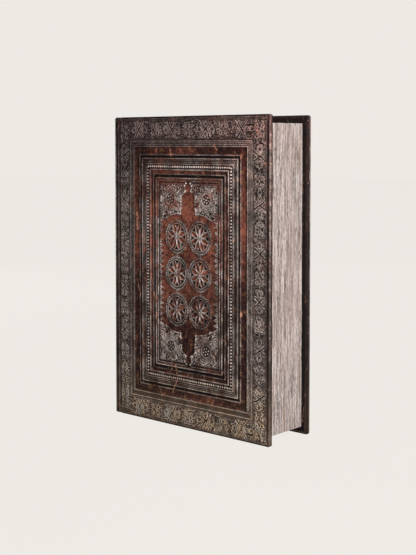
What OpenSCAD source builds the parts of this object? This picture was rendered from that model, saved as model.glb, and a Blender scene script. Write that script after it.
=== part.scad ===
// Book-shaped presentation case with a five-ring letter cryptex inside.
// +X runs from the spine to the fore edge, +Y from the front cover to the back cover, +Z from tail to head.
// The origin is the middle of the tail edges that the case stands on.

/* [Case] */
// Height of the covers, from tail to head
case_h = 270; // [262:1:300]
// Width of the covers, from spine to fore edge
case_w = 179; // [170:1:200]
// Thickness over both covers
case_t = 56.3; // [56:0.1:60]
// Thickness of the board in each cover
board_t = 3.5; // [3:0.1:3.8]
// Thickness of the cover leather
leather_t = 0.6; // [0.5:0.05:0.7]
// Radius of the covers' outer corners
corner_r = 1.5; // [1:0.1:3]
// Gap between the spine and the front cover, where the leather bends
joint_gap = 1.7; // [1.6:0.1:2.4]
// Width of the leather turned in round the inside of each cover
turn_in = 14; // [10:1:18]

/* [Page block] */
// How far the covers stand past the page edges at the fore edge
fore_square = 5.7; // [4:0.1:8]
// How far the covers stand past the page edges at the head
head_square = 6.8; // [4:0.1:8]
// How far the covers stand past the page edges at the tail
tail_square = 5.8; // [4:0.1:8]
// Thickness of the tray's walls
wall_t = 5; // [4:0.5:6]
// Thickness of the tray's floor
floor_t = 2; // [1.5:0.1:2.2]
// Thickness of the paper that forms the page edges
paper_t = 0.5; // [0.4:0.1:0.6]
// Thickness of the velvet lining
lining_t = 0.8; // [0.6:0.1:0.8]

/* [Cradle] */
// Depth of the padded cradle above the lined floor
cradle_depth = 18.6; // [16:0.1:18.6]
// Radius of the finger recesses beside the rings
finger_r = 12; // [8:0.5:14]

/* [Cryptex] */
// Radius of the end caps
cap_r = 20; // [20:0.1:20]
// Radius of the flats that carry the letters
ring_flat_r = 18.3; // [18:0.1:18.4]
// Height of one ring
ring_h = 12.9; // [12:0.1:13]
// Number of letters round a ring
letters = 26; // [20:2:30]
// Radius of the barrel that the rings turn on
barrel_r = 13; // [12.8:0.1:13]
// Width of the two slots down the barrel
slot_w = 3; // [2.8:0.1:3.1]
// How far the inner tube draws out in the case
draw_travel = 70; // [40:1:70]

/* [Hidden] */
$fn = 96;
eps = 0.01;
ring_total = 5;
cover_t = board_t + 2 * leather_t;
spine_x = -case_w / 2;
fore_x = case_w / 2;
front_y = -case_t / 2;
back_y = case_t / 2;
spine_in_x = spine_x + cover_t;
front_in_y = front_y + cover_t;
back_in_y = back_y - cover_t;
front_cover_x = spine_in_x + joint_gap;
// The tray inside the page-edge paper
tray_fore_x = fore_x - fore_square - paper_t;
tray_tail_z = tail_square + paper_t;
tray_head_z = case_h - head_square - paper_t;
// The velvet on the rim clears the closed cover by this much
rim_clearance = 0.35;
rim_velvet_t = 0.3;
rim_y = front_in_y + rim_clearance;
wall_rim_y = rim_y + rim_velvet_t;
floor_y = back_in_y - floor_t;
// The lined cavity
cavity_lo = [spine_in_x + wall_t + lining_t, rim_y, tray_tail_z + wall_t + lining_t];
cavity_hi = [tray_fore_x - wall_t - lining_t, floor_y - lining_t, tray_head_z - wall_t - lining_t];
// Small parts of the closure
magnet_r = 2;
magnet_t = 3;
keeper_r = 5;
keeper_t = 0.8;
magnet_inset_z = 45;
// Where the cryptex lies: its axis is upright, through the middle of the cavity
cryptex_x = (cavity_lo[0] + cavity_hi[0]) / 2;
cryptex_y = cavity_hi[1] - cap_r - 1.85;
cryptex_z = tray_tail_z + 31.7;
trough_clearance = 0.4;
cradle_y = cavity_hi[1] - cradle_depth;
// Heights along the cryptex, from the underside of the base cap
cap_h = 22;
cap_floor = 4;
first_ring_z = cap_h + 0.5;
ring_pitch = ring_h + 0.5;
collar_z = first_ring_z + ring_total * ring_pitch;
collar_h = 7.5;
pull_cap_z = collar_z + collar_h + 0.2;
tube_z = 6.5;
tube_top_z = pull_cap_z + 15;
finial_h = 8.5;
base_finial_h = 4.5;
// Radii of the cryptex, from the middle out
running_fit = 0.08;
bore_r = barrel_r - 1.5;
tube_r = bore_r - 0.1;
tube_wall = 1.8;
gate_r = barrel_r + 2.6;
gate_w = slot_w + 0.4;
lug_r = 1.2;
lug_reach_r = gate_r - 0.4;
ring_join_r = 16.5;
rim_r = 18.9;
groove_h = 4.4;
band_depth = 1.4;
band_flutes = 24;
screw_r = 0.8;
screw_head_r = 1.5;
screw_seat_r = 18.2;
screw_head_t = 1;
neck_r = cap_r - 1.2;
// The lugs and gates lie towards the covers, half a turn apart
gate_angles = [90, 270];
screw_angles = [0, 120, 240];

function numbered(name) = [for (i = [1:ring_total]) str(name, "_", i)];

// ---- Shared shapes ----

// A box between its lowest and highest corners
module block(lo, hi) {
    translate(lo) cube(hi - lo);
}

// A cover plate from the low to the high corner, with round corners at the fore edge
module plate(lo, hi, r) {
    size = hi - lo;
    translate([lo[0], hi[1], lo[2]])
        rotate([90, 0, 0])
            linear_extrude(size[1]) {
                square([size[0] - r, size[2]]);
                translate([0, r]) square([size[0], size[2] - 2 * r]);
                for (z = [r, size[2] - r])
                    translate([size[0] - r, z]) circle(r);
            }
}

// A ring of metal about the cryptex axis
module tube(inner_r, outer_r, z, h) {
    translate([0, 0, z]) difference() {
        cylinder(r = outer_r, h = h);
        translate([0, 0, -1]) cylinder(r = inner_r, h = h + 2);
    }
}

module at_cryptex() {
    translate([cryptex_x, cryptex_y, cryptex_z]) children();
}

// Slots through a wall for the lugs, from the axis out to a radius
module gates(outer_r, w, z, h) {
    for (a = gate_angles)
        rotate([0, 0, a])
            translate([barrel_r - 3, -w / 2, z]) cube([outer_r - barrel_r + 3, w, h]);
}

// ---- Front cover ----

module front_board_shape() {
    plate([front_cover_x + leather_t, front_y + leather_t, leather_t],
          [fore_x - leather_t, front_in_y - leather_t, case_h - leather_t],
          corner_r - leather_t);
}

module keeper_shapes() {
    for (z = [tray_tail_z + magnet_inset_z, tray_head_z - magnet_inset_z])
        translate([tray_fore_x - wall_t / 2, front_in_y - leather_t, z])
            rotate([90, 0, 0]) cylinder(r = keeper_r, h = keeper_t);
}

// The window inside the turn-ins, where the lining paper is pasted to a board
module turn_in_window(x_lo, x_hi, y_lo, y_hi) {
    block([x_lo + turn_in, y_lo, turn_in], [x_hi - turn_in, y_hi, case_h - turn_in]);
}

module front_cover_board() {
    color("burlywood") difference() {
        front_board_shape();
        keeper_shapes();
    }
}

module front_cover_leather() {
    color([0.3, 0.2, 0.17]) difference() {
        plate([front_cover_x, front_y, 0], [fore_x, front_in_y, case_h], corner_r);
        front_board_shape();
        turn_in_window(front_cover_x, fore_x, front_in_y - leather_t - eps, front_in_y + 1);
    }
}

module front_pastedown() {
    paste_y = front_in_y - leather_t;
    color("antiquewhite") turn_in_window(front_cover_x, fore_x, paste_y, paste_y + 0.4);
}

module keeper_plates() {
    color("silver") keeper_shapes();
}

// ---- Spine and back cover ----

module spine_board_shape() {
    block([spine_x + leather_t, front_y + leather_t, leather_t],
          [spine_in_x, back_y - leather_t, case_h - leather_t]);
}

module spine_board() {
    color("burlywood") spine_board_shape();
}

module spine_leather() {
    color([0.3, 0.2, 0.17]) difference() {
        block([spine_x, front_y, 0], [spine_in_x, back_y, case_h]);
        spine_board_shape();
    }
}

module hinge_leather() {
    strip_in = 0.25;
    color([0.25, 0.16, 0.13])
        block([spine_in_x, front_y + strip_in, 0.3],
              [front_cover_x - 0.1, front_y + strip_in + leather_t, case_h - 0.3]);
}

module back_board_shape() {
    plate([spine_in_x + leather_t, back_in_y + leather_t, leather_t],
          [fore_x - leather_t, back_y - leather_t, case_h - leather_t],
          corner_r - leather_t);
}

module back_cover_board() {
    color("burlywood") back_board_shape();
}

module back_cover_leather() {
    color([0.3, 0.2, 0.17]) difference() {
        plate([spine_in_x, back_in_y, 0], [fore_x, back_y, case_h], corner_r);
        back_board_shape();
        turn_in_window(spine_in_x, fore_x, back_in_y - 1, back_in_y + leather_t + eps);
    }
}

module back_liner() {
    color("antiquewhite")
        turn_in_window(spine_in_x, fore_x, back_in_y, back_in_y + leather_t);
}

// ---- Tray: the page block ----

module tray_floor() {
    color("tan")
        block([spine_in_x, floor_y, tray_tail_z], [tray_fore_x, back_in_y, tray_head_z]);
}

// A wall across the whole tray, at the head or the tail
module end_wall(z) {
    color("tan") block([spine_in_x, wall_rim_y, z], [tray_fore_x, floor_y, z + wall_t]);
}

// A wall between the end walls, at the spine or the fore edge
module side_wall(x) {
    block([x, wall_rim_y, tray_tail_z + wall_t], [x + wall_t, floor_y, tray_head_z - wall_t]);
}

module magnet_shapes() {
    for (z = [tray_tail_z + magnet_inset_z, tray_head_z - magnet_inset_z])
        translate([tray_fore_x - wall_t / 2, wall_rim_y + magnet_t, z])
            rotate([90, 0, 0]) cylinder(r = magnet_r, h = magnet_t);
}

module head_wall() {
    end_wall(tray_head_z - wall_t);
}

module tail_wall() {
    end_wall(tray_tail_z);
}

module fore_edge_wall() {
    color("tan") difference() {
        side_wall(tray_fore_x - wall_t);
        magnet_shapes();
    }
}

module spine_wall() {
    color("tan") side_wall(spine_in_x);
}

module closure_magnets() {
    color("silver") magnet_shapes();
}

module page_edge_wrap() {
    color([0.82, 0.74, 0.7]) difference() {
        block([spine_in_x, rim_y, tail_square],
              [tray_fore_x + paper_t, back_in_y, case_h - head_square]);
        block([spine_in_x - 1, rim_y - 1, tray_tail_z], [tray_fore_x, back_in_y + 1, tray_head_z]);
    }
}

module tray_lining() {
    color([0.3, 0.06, 0.08]) difference() {
        union() {
            block([spine_in_x, rim_y, tray_tail_z], [tray_fore_x, wall_rim_y, tray_head_z]);
            block(cavity_lo - [lining_t, 0, lining_t], cavity_hi + [lining_t, lining_t, lining_t]);
        }
        block(cavity_lo - [0, 1, 0], cavity_hi);
    }
}

// The trough is long enough for the cryptex with its tube drawn, and grips the base cap
module trough() {
    trough_end = pull_cap_z + cap_h + finial_h + draw_travel + 2;
    at_cryptex() {
        translate([0, 0, -base_finial_h - 1]) cylinder(r = cap_r, h = base_finial_h + 1 + cap_h);
        translate([0, 0, cap_h - eps]) cylinder(r = cap_r + trough_clearance, h = trough_end - cap_h);
    }
}

module finger_recesses() {
    reach = 44;
    translate([cryptex_x - reach, cradle_y, cryptex_z + first_ring_z + 2.5 * ring_pitch])
        rotate([0, 90, 0]) cylinder(r = finger_r, h = 2 * reach);
}

module cradle() {
    color([0.36, 0.08, 0.1]) difference() {
        block([cavity_lo[0], cradle_y, cavity_lo[2]], cavity_hi);
        trough();
        finger_recesses();
    }
}

// ---- Cryptex: fixed parts ----

// Half section of a cap: a chamfered foot, a groove for the band, and a neck
module cap_section(seat_r, floor_h) {
    polygon([
        [0, 0], [cap_r - 1.5, 0], [cap_r, 1.5], [cap_r, 5],
        [cap_r - band_depth, 5], [cap_r - band_depth, 13], [cap_r, 13], [cap_r, 17],
        [neck_r, 18.2], [neck_r, cap_h], [seat_r, cap_h], [seat_r, floor_h], [0, floor_h]
    ]);
}

// Screws through a cap's neck at a height
module neck_screws(z, inner_r) {
    for (a = screw_angles)
        rotate([0, 0, a]) translate([0, 0, z]) rotate([0, 90, 0]) {
            translate([0, 0, inner_r]) cylinder(r = screw_r, h = screw_seat_r - inner_r, $fn = 24);
            translate([0, 0, screw_seat_r]) cylinder(r = screw_head_r, h = screw_head_t, $fn = 32);
        }
}

// A fluted band in a cap's groove
module band(z) {
    difference() {
        tube(cap_r - band_depth, cap_r - 0.3, z, 8);
        for (i = [0:band_flutes - 1])
            rotate([0, 0, i * 360 / band_flutes])
                translate([cap_r, 0, z + 1.5]) cylinder(r = 0.8, h = 5, $fn = 24);
    }
}

// A small arrow on the front of the cryptex that points along the axis
module arrow(r, z, h) {
    translate([0, -r + 0.6, z]) rotate([90, 0, 0])
        linear_extrude(1) polygon([[-1.5, 0], [1.5, 0], [0, h]]);
}

module index_shapes() {
    arrow(neck_r, cap_h - 3.2, 2.6);
    arrow(cap_r, collar_z + 5.9, -2.9);
}

screw_z = cap_h - 2;

module base_cap() {
    at_cryptex() color([0.72, 0.55, 0.28]) difference() {
        rotate_extrude() cap_section(barrel_r, cap_floor);
        neck_screws(screw_z, barrel_r - 1);
        index_shapes();
    }
}

module base_cap_band() {
    at_cryptex() color([0.42, 0.3, 0.16]) band(5);
}

module base_finial() {
    at_cryptex() color([0.72, 0.55, 0.28]) intersection() {
        translate([0, 0, base_finial_h]) sphere(r = 2 * base_finial_h);
        translate([0, 0, -base_finial_h - 1]) cylinder(r = 7.5, h = base_finial_h + 1);
    }
}

module base_cap_screws() {
    at_cryptex() color("silver") difference() {
        neck_screws(screw_z, barrel_r - 1);
        cylinder(r = barrel_r, h = cap_h);
    }
}

module barrel() {
    at_cryptex() color([0.66, 0.5, 0.26]) difference() {
        tube(bore_r, barrel_r, cap_floor, collar_z + collar_h - cap_floor);
        gates(barrel_r + 1, slot_w, cap_h, collar_z + collar_h);
    }
}

module spacer_washers() {
    at_cryptex() color("silver") for (i = [0:ring_total]) {
        z = first_ring_z - 0.4 + i * ring_pitch;
        difference() {
            tube(barrel_r, gate_r + 0.7, z, 0.3);
            gates(gate_r, gate_w, z - 1, 3);
        }
    }
}

module retaining_collar() {
    at_cryptex() color([0.72, 0.55, 0.28]) difference() {
        rotate_extrude() translate([0, collar_z]) polygon([
            [barrel_r, 0], [rim_r, 0], [rim_r, 1.5], [cap_r, 2.5],
            [cap_r, collar_h - 1], [cap_r - 1, collar_h], [barrel_r, collar_h]
        ]);
        gates(gate_r, gate_w, collar_z - 1, collar_h + 2);
        index_shapes();
    }
}

module index_marks() {
    at_cryptex() color("firebrick") index_shapes();
}

// ---- Cryptex: rings ----

// The outer ring has a flat for each letter between two round rims
module letter_ring(i) {
    rim_h = 1.2;
    corner = ring_flat_r / cos(180 / letters);
    z = first_ring_z + (i - 1) * ring_pitch;
    at_cryptex() color([0.78, 0.6, 0.32]) translate([0, 0, z]) {
        difference() {
            linear_extrude(ring_h)
                polygon([for (k = [0:letters - 1])
                    corner * [cos(270 + (k + 0.5) * 360 / letters), sin(270 + (k + 0.5) * 360 / letters)]]);
            translate([0, 0, -1]) cylinder(r = ring_join_r, h = ring_h + 2);
        }
        tube(ring_join_r, rim_r, 0, rim_h);
        tube(ring_join_r, rim_r, ring_h - rim_h, rim_h);
    }
}

// The inner ring has a groove that the lugs run in, and two gates that let them through
module code_ring(i) {
    z = first_ring_z + (i - 1) * ring_pitch;
    at_cryptex() color([0.6, 0.6, 0.58]) translate([0, 0, z]) difference() {
        cylinder(r = ring_join_r, h = ring_h);
        translate([0, 0, -1]) cylinder(r = barrel_r + running_fit, h = ring_h + 2);
        translate([0, 0, (ring_h - groove_h) / 2]) cylinder(r = gate_r, h = groove_h);
        gates(gate_r, gate_w, -1, ring_h + 2);
    }
}

// ---- Cryptex: the inner tube and what moves with it ----

module inner_tube() {
    at_cryptex() color([0.7, 0.56, 0.32])
        tube(tube_r - tube_wall, tube_r, tube_z, tube_top_z - tube_z);
}

module lug_pins() {
    at_cryptex() color("silver") difference() {
        for (i = [0:ring_total - 1], a = gate_angles)
            rotate([0, 0, a]) translate([tube_r - 1, 0, first_ring_z + ring_h / 2 + i * ring_pitch])
                rotate([0, 90, 0]) cylinder(r = lug_r, h = lug_reach_r - tube_r + 1, $fn = 32);
        cylinder(r = tube_r, h = tube_top_z);
    }
}

module tube_stopper() {
    at_cryptex() color("peru") translate([0, 0, tube_z]) cylinder(r = tube_r - tube_wall, h = 4);
}

module scroll() {
    at_cryptex() color([0.85, 0.76, 0.58]) tube(3, tube_r - tube_wall - 0.8, tube_z + 4.5, 84);
}

module pull_cap() {
    at_cryptex() color([0.72, 0.55, 0.28]) translate([0, 0, pull_cap_z + cap_h]) mirror([0, 0, 1])
        difference() {
            rotate_extrude() cap_section(tube_r, pull_cap_z + cap_h - tube_top_z);
            neck_screws(screw_z, tube_r - 1);
        }
}

module pull_cap_band() {
    at_cryptex() color([0.42, 0.3, 0.16]) band(pull_cap_z + cap_h - 13);
}

module pull_finial() {
    knob_r = 4.5;
    at_cryptex() color([0.72, 0.55, 0.28]) translate([0, 0, pull_cap_z + cap_h]) {
        cylinder(r = 8, h = 1.5);
        intersection() {
            translate([0, 0, finial_h - knob_r]) sphere(r = knob_r);
            cylinder(r = 2 * knob_r, h = finial_h + 1);
        }
    }
}

module pull_cap_screws() {
    at_cryptex() color("silver") translate([0, 0, pull_cap_z + cap_h]) mirror([0, 0, 1])
        difference() {
            neck_screws(screw_z, tube_r - 1);
            cylinder(r = tube_r, h = cap_h);
        }
}

// ---- Nodes ----

front_cover_board();
front_cover_leather();
front_pastedown();
keeper_plates();
hinge_leather();
spine_board();
spine_leather();
back_cover_board();
back_cover_leather();
back_liner();
tray_floor();
head_wall();
tail_wall();
fore_edge_wall();
spine_wall();
page_edge_wrap();
tray_lining();
cradle();
closure_magnets();
base_cap();
base_cap_band();
base_finial();
base_cap_screws();
barrel();
spacer_washers();
retaining_collar();
index_marks();
for (i = [1:ring_total]) {
    letter_ring(i);
    code_ring(i);
}
inner_tube();
lug_pins();
tube_stopper();
scroll();
pull_cap();
pull_cap_band();
pull_finial();
pull_cap_screws();
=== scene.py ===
import math

import bmesh
import bpy
import numpy as np
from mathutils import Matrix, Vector


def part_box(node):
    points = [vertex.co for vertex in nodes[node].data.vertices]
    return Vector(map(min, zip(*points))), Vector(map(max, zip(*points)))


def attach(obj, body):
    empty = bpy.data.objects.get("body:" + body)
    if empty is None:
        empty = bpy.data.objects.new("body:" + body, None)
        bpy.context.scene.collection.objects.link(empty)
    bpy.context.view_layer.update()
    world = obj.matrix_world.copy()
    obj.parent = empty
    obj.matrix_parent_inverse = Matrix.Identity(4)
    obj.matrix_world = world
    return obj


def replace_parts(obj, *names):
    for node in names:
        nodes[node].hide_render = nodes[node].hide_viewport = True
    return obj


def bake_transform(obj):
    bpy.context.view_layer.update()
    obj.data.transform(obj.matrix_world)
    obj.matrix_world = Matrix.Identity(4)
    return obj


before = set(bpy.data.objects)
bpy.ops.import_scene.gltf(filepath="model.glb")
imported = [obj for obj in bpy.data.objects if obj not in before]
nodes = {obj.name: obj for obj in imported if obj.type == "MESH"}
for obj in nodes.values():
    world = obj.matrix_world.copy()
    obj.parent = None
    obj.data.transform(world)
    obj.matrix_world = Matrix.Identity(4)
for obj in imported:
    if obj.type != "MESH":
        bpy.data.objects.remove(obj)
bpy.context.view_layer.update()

MM = 0.001
scene = bpy.context.scene


def node_box(name):
    """A CAD node's lowest and highest corners, in millimetres."""
    low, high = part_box(name)
    return np.array(low) / MM, np.array(high) / MM


# ---- Places and sizes from the frame, in millimetres ----

SPINE_LO, SPINE_HI = node_box("spine_leather")
FRONT_LO, FRONT_HI = node_box("front_cover_leather")
BACK_LO, BACK_HI = node_box("back_cover_leather")
WRAP_LO, WRAP_HI = node_box("page_edge_wrap")
LINING_LO, LINING_HI = node_box("tray_lining")
CRADLE_LO, CRADLE_HI = node_box("cradle")
BARREL_LO, BARREL_HI = node_box("barrel")
PULL_TOP = node_box("pull_cap")[1][2]
FINIAL_TOP = node_box("pull_finial")[1][2]
BASE_Z = node_box("base_finial")[0][2]
CASE_H = SPINE_HI[2]
AXIS_X = (BARREL_LO[0] + BARREL_HI[0]) / 2
AXIS_Y = (BARREL_LO[1] + BARREL_HI[1]) / 2
RINGS = 5
LETTERS = "ABCDEFGHIJKLMNOPQRSTUVWXYZ"


# ---- Camera, as fitted to the photograph ----

EYE = (622.9, -705.4, 245.0)      # in millimetres
HEADING = 41.5                    # degrees from straight in front towards the fore edge
TILT = 2.98                       # degrees down
FOCAL = 69.8                      # on a sensor 36 mm along the picture's long side
SHIFT = -0.1376

camera = bpy.data.objects.new("camera", bpy.data.cameras.new("camera"))
scene.collection.objects.link(camera)
camera.location = Vector(EYE) * MM
camera.rotation_euler = (math.radians(90 - TILT), 0, math.radians(HEADING))
camera.data.lens = FOCAL
camera.data.sensor_width = 36
camera.data.shift_y = SHIFT
camera.data.clip_end = 20
scene.camera = camera


# ---- Light ----

BACKDROP = (0.847, 0.815, 0.776)
WHITE = (1, 1, 1)
LIGHTS = {
    "key": ((900, -400, 330), 0.16, 18.5, (1, 0.985, 0.96)),
    "fill": ((350, -1300, 900), 0.5, 6, (0.97, 0.98, 1)),
    "back": ((100, 1300, 900), 0.6, 16, WHITE),
    "top": ((-150, -150, 1300), 0.4, 9, WHITE),
    "spine": ((-1150, 300, 450), 0.5, 12, WHITE),
}                                 # place in millimetres, size in metres, power in watts, colour

for name, (place, size, power, colour) in LIGHTS.items():
    data = bpy.data.lights.new(name, "AREA")
    data.shape = "SQUARE"
    data.size = size
    data.energy = power
    data.color = colour
    light = bpy.data.objects.new(name, data)
    scene.collection.objects.link(light)
    light.location = Vector(place) * MM
    light.rotation_euler = (Vector((0, 0, CASE_H / 2)) - Vector(place)).to_track_quat("-Z", "Y").to_euler()

# The camera sees the even backdrop; the object is lit by a much dimmer one.
scene.world = bpy.data.worlds.new("studio")
scene.world.use_nodes = True
tree = scene.world.node_tree
sky, dim = tree.nodes["Background"], tree.nodes.new("ShaderNodeBackground")
sky.inputs["Color"].default_value = (*BACKDROP, 1)
dim.inputs["Color"].default_value = (0.9, 0.94, 1, 1)
dim.inputs["Strength"].default_value = 0.12
pick = tree.nodes.new("ShaderNodeMixShader")
seen = tree.nodes.new("ShaderNodeLightPath").outputs["Is Camera Ray"]
for source, socket in ((seen, 0), (dim.outputs[0], 1), (sky.outputs[0], 2)):
    tree.links.new(source, pick.inputs[socket])
tree.links.new(pick.outputs[0], tree.nodes["World Output"].inputs["Surface"])
scene.view_settings.view_transform = "Standard"


# ---- Material building blocks ----

class Value:
    """What a node gives out, with the usual arithmetic."""

    def __init__(self, graph, socket):
        self.graph = graph
        self.socket = socket

    def __add__(self, other):
        return self.graph.math("ADD", self, other)

    def __mul__(self, other):
        return self.graph.math("MULTIPLY", self, other)

    def __sub__(self, other):
        return self.graph.math("SUBTRACT", self, other)

    def __rsub__(self, other):
        return self.graph.math("SUBTRACT", other, self)

    def __pow__(self, other):
        return self.graph.math("POWER", self, other)

    def __abs__(self):
        return self.graph.math("ABSOLUTE", self)


class Graph:
    """A material's nodes, with short ways to add the usual ones, and the colour laid on so far."""

    def __init__(self, name, roughness=0.5, metallic=0.0, more=None):
        self.material = bpy.data.materials.new(name)
        self.material.use_nodes = True
        self.tree = self.material.node_tree
        self.shader = self.tree.nodes["Principled BSDF"]
        self.colour = None
        for key, value in {"Roughness": roughness, "Metallic": metallic, **(more or {})}.items():
            self.join(self.shader.inputs[key], value)
        self.place = self.make("TexCoord", {}, "Object")

    def join(self, socket, value):
        if isinstance(value, Value):
            self.tree.links.new(value.socket, socket)
        elif isinstance(value, tuple) and len(socket.default_value) == 4:
            socket.default_value = (*value, 1)
        else:
            socket.default_value = value

    def make(self, kind, inputs, output=0, **settings):
        """A new node's output; inputs gives what goes into its sockets, by name or number."""
        node = self.tree.nodes.new("ShaderNode" + kind)
        for key, value in settings.items():
            setattr(node, key, value)
        for key, value in inputs.items():
            self.join(node.inputs[key], value)
        return Value(self, node.outputs[output])

    def math(self, kind, a, b=0.0):
        return self.make("Math", {0: a, 1: b}, operation=kind)

    def scaled(self, size_mm, stretch):
        scale = tuple(k / (size_mm * MM) for k in stretch)
        return self.make("Mapping", {"Vector": self.place, "Scale": scale})

    def noise(self, size_mm, detail=3, rough=0.55, stretch=(1, 1, 1), warp=0.0):
        """Noise with features of about size_mm, stretched along an axis by giving it a number under 1."""
        inputs = {"Scale": 1, "Detail": detail, "Roughness": rough, "Distortion": warp}
        return self.make("TexNoise", {"Vector": self.scaled(size_mm, stretch), **inputs}, "Fac")

    def cells(self, size_mm, feature="DISTANCE_TO_EDGE", stretch=(1, 1, 1)):
        inputs = {"Vector": self.scaled(size_mm, stretch), "Scale": 1}
        return self.make("TexVoronoi", inputs, "Distance", feature=feature)

    def ramp(self, value, low, high, out_low=0.0, out_high=1.0):
        inputs = dict(enumerate((value, low, high, out_low, out_high)))
        return self.make("MapRange", inputs, interpolation_type="SMOOTHSTEP")

    def spots(self, noise, low, high, most=1.0):
        """From 0 to most, where a noise with these arguments goes from low to high."""
        return self.ramp(self.noise(*noise), low, high, 0, most)

    def mix(self, factor, a, b, kind="MIX"):
        return self.make("Mix", {0: factor, 6: a, 7: b}, 2, data_type="RGBA", blend_type=kind)

    def coat(self, factor, colour, kind="MIX"):
        """Lays a colour over the colour so far."""
        self.colour = self.mix(factor, self.colour, colour, kind)

    def attribute(self, name):
        return self.make("Attribute", {}, "Fac", attribute_name=name)

    def axis(self, name):
        return self.make("SeparateXYZ", {0: self.place}, name)

    def bump(self, height, depth_mm):
        normal = self.make("Bump", {"Distance": depth_mm * MM, "Height": height})
        self.join(self.shader.inputs["Normal"], normal)

    def finish(self, roughness=None):
        self.join(self.shader.inputs["Base Color"], self.colour)
        if roughness is not None:
            self.join(self.shader.inputs["Roughness"], roughness)
        return self.material


# ---- Materials ----

BLACK = (0.006, 0.004, 0.004)


def leather(name):
    """Old tooled leather: grey ridges, partly worn and partly painted sheen, with painted highlights;
    red-brown plain ground; sunk lines and pits painted black as painted shade; scuffs and cracks.
    """
    g = Graph(name, more={"Specular IOR Level": 0.11})
    raised, red, dark = g.attribute("raised"), g.attribute("red"), g.attribute("dark")
    broad, patch = g.noise(55, 2), g.noise(11, 4, 0.6)
    fine, grain = g.noise(1.7, 4, 0.65), g.noise(0.5, 2)
    height, side = g.axis("Z"), g.axis("X")
    crest = g.math("MINIMUM", raised, 1.0) ** 1.6
    mottle = fine * 0.9 + patch * 0.6

    # The plain ground is warmest in the middle and at the upper fore edge.
    upper = g.ramp(abs(height - 0.17), 0.085, 0.01, -0.12, 0.14)
    outer = g.ramp(abs(side), 0.055, 0.03, -0.08, 0.16)
    band = g.ramp(side, 0.054, 0.062, 0.0, 0.3) * g.ramp(height, 0.11, 0.16)
    warm = broad * 0.8 + g.noise(6, 5, 0.75)
    warm = warm + upper + (outer - side) + band + g.ramp(red, 1.0, 1.5, 0.0, 0.3)
    g.colour = g.mix(g.ramp(warm, 0.8, 1.4), (0.016, 0.006, 0.006), (0.25, 0.076, 0.048))
    g.coat(g.spots((7, 4, 0.6), 0.52, 0.68, 0.6), (0.27, 0.125, 0.06))
    g.coat(g.ramp(mottle, 0.82, 0.55, 0, 0.75), (0.018, 0.009, 0.008))
    g.coat(g.spots((1.5, 3, 0.7), 0.56, 0.7, 0.45), (0.4, 0.15, 0.08))
    g.coat(g.spots((9, 5, 0.7, (1, 1, 1), 1.2), 0.5, 0.64, 0.7), (0.025, 0.01, 0.01))
    g.coat(g.ramp(red, 1.2, 1.5, 0.0, 0.55), g.mix(patch, (0.16, 0.02, 0.02), (0.45, 0.2, 0.1)))
    plain = g.colour

    # The tooled ground under grey ridges, whose grey is partly worn leather and partly painted sheen, then
    # the plain ground where the pattern is plain or worn off.
    g.colour = g.mix(g.ramp(patch, 0.35, 0.65), (0.01, 0.008, 0.007), (0.03, 0.015, 0.012))
    g.coat(crest * g.ramp(mottle, 0.55, 0.95, 0.3, 1.0), (0.36, 0.29, 0.265))
    g.coat(red, plain)
    stained = g.spots((17, 4, 0.65), 0.48, 0.66) * g.ramp(crest, 0.0, 0.8, 1.0, 0.1)
    g.coat(stained * 0.5, plain)
    # Painted shade: the dark attribute blackens sunk lines, pits, gaps between pearls, the sides of the cover
    # edges and the turn-ins.
    g.coat(dark * 0.97, BLACK)
    # Painted highlights and painted glints on the crests, from the highlight values the relief adds to
    # raised.
    painted_highlight = g.ramp(raised, 1.05, 1.8) * g.ramp(mottle, 0.55, 0.85, 0.35, 1.0)
    painted_glints = g.ramp(g.cells(2.4, "F1"), 0.3, 0.15) * g.ramp(raised, 0.4, 0.9) * g.spots((7, 3), 0.45, 0.6)
    g.coat(g.math("MAXIMUM", painted_highlight, painted_glints * 0.6), (0.62, 0.51, 0.47))

    # Scuffs, specks and scratches.
    scuff = g.spots((6, 5, 0.7, (1, 1, 1), 0.8), 0.63, 0.72) * g.ramp(fine, 0.35, 0.6)
    g.coat(scuff * g.ramp(dark, 0.5, 1.0, 0.55, 0.12), (0.26, 0.085, 0.045))
    speck = g.ramp(g.cells(3.4, "F1"), 0.16, 0.08) * g.spots((13, 3), 0.56, 0.7)
    g.coat(speck * 0.7, (0.5, 0.3, 0.19))
    scratch = g.ramp(g.cells(19, stretch=(1.6, 1, 0.7)), 0.016, 0.006) * g.spots((8, 3), 0.5, 0.62)
    g.coat(scratch * 0.5, (0.3, 0.15, 0.1))
    g.coat(g.attribute("scuff") * 0.7, g.mix(g.noise(4, 3), (0.42, 0.12, 0.055), (0.55, 0.34, 0.24)))

    # Painted light and tone over a cover: a pinkish painted light at the upper fore edge, as if lit from that
    # side.
    pink_painted_light = g.ramp(side, 0.0, 0.08) * g.ramp(height, 0.17, 0.26) * g.ramp(patch, 0.35, 0.6, 0.3, 1.0)
    g.coat(pink_painted_light, (1.45, 1.22, 1.14), "MULTIPLY")
    # At the tail: a yellowish olive tone, with painted light that brightens the lower cover and painted
    # highlights on its ridges.
    low = g.ramp(height, 0.065, 0.0) * (1.0 - dark) * g.ramp(red, 0.0, 1.0, 1.0, 0.3)
    tail_painted_light = low * g.ramp(crest, 0.2, 0.75, 0.15, 1.0)
    g.coat(tail_painted_light, (1.8, 1.68, 1.32), "MULTIPLY")
    g.coat(low * 0.4, (0.14, 0.09, 0.052))
    g.coat(tail_painted_light * g.spots((8, 3), 0.5, 0.6, 0.5), (0.27, 0.28, 0.27))
    golden_tail_highlight = low * (g.ramp(raised, 0.75, 1.15) * g.ramp(patch, 0.42, 0.58))
    g.coat(golden_tail_highlight * 0.6, (0.3, 0.2, 0.1))
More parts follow.
